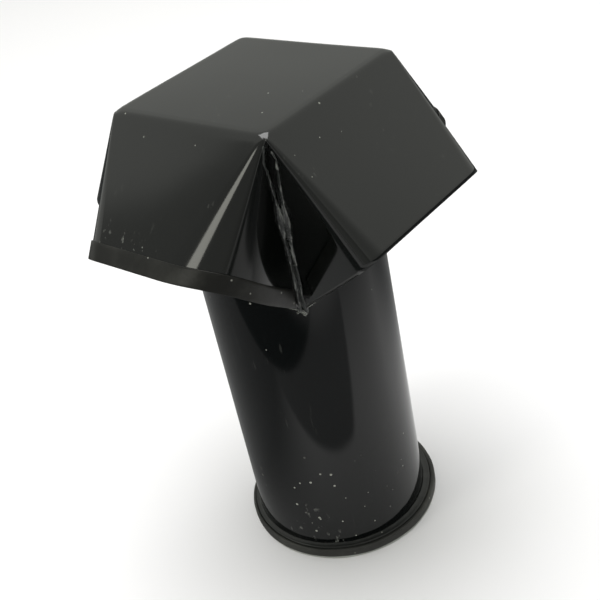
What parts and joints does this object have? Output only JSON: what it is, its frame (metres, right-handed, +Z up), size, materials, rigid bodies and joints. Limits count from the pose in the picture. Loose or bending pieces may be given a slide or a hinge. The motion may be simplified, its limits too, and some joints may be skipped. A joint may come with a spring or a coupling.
{
  "type": "roof vent cover",
  "caption": "Roof vent cover: a round stack tube with a flanged base ring, and a rain hood folded from a square sheet whose corner tips are glued to the tube.",
  "frame": {"origin": "centre of the seal's underside, on the tube's axis, level with the roof", "axes": "+Z up along the tube's axis; the hood's flaps face +X, -X, +Y and -Y, and the edge strips are on the flaps that face +X and -X"},
  "size_m": [0.2054, 0.2042, 0.299],
  "materials": {
    "gloss_sheet": "glossy black sheet",
    "gloss_tube": "glossy black tube",
    "weld_plastic": "rough welded bead",
    "clear_glue": "clear hardened glue",
    "matte_strip": "matte black strip",
    "ring_rubber": "matte black ring",
    "sealant": "black sealant",
    "seal_grey": "pale grey seal",
    "screen_wire": "fine wire mesh",
    "snap_ring": "matte black plastic"
  },
  "bodies": {
    "root": {"hood_sheet": "gloss_sheet", "corner_weld_front": "weld_plastic", "corner_weld_left": "weld_plastic", "corner_weld_right": "weld_plastic", "corner_weld_back": "weld_plastic", "corner_glue_front": "clear_glue", "corner_glue_left": "clear_glue", "corner_glue_right": "clear_glue", "corner_glue_back": "clear_glue", "edge_strip_left": "matte_strip", "edge_strip_right": "matte_strip", "stack_tube": "gloss_tube", "base_ring": "ring_rubber", "foot_sealant": "sealant", "base_seal": "seal_grey", "insect_screen": "screen_wire", "screen_ring": "snap_ring"}
  },
  "joints": []
}
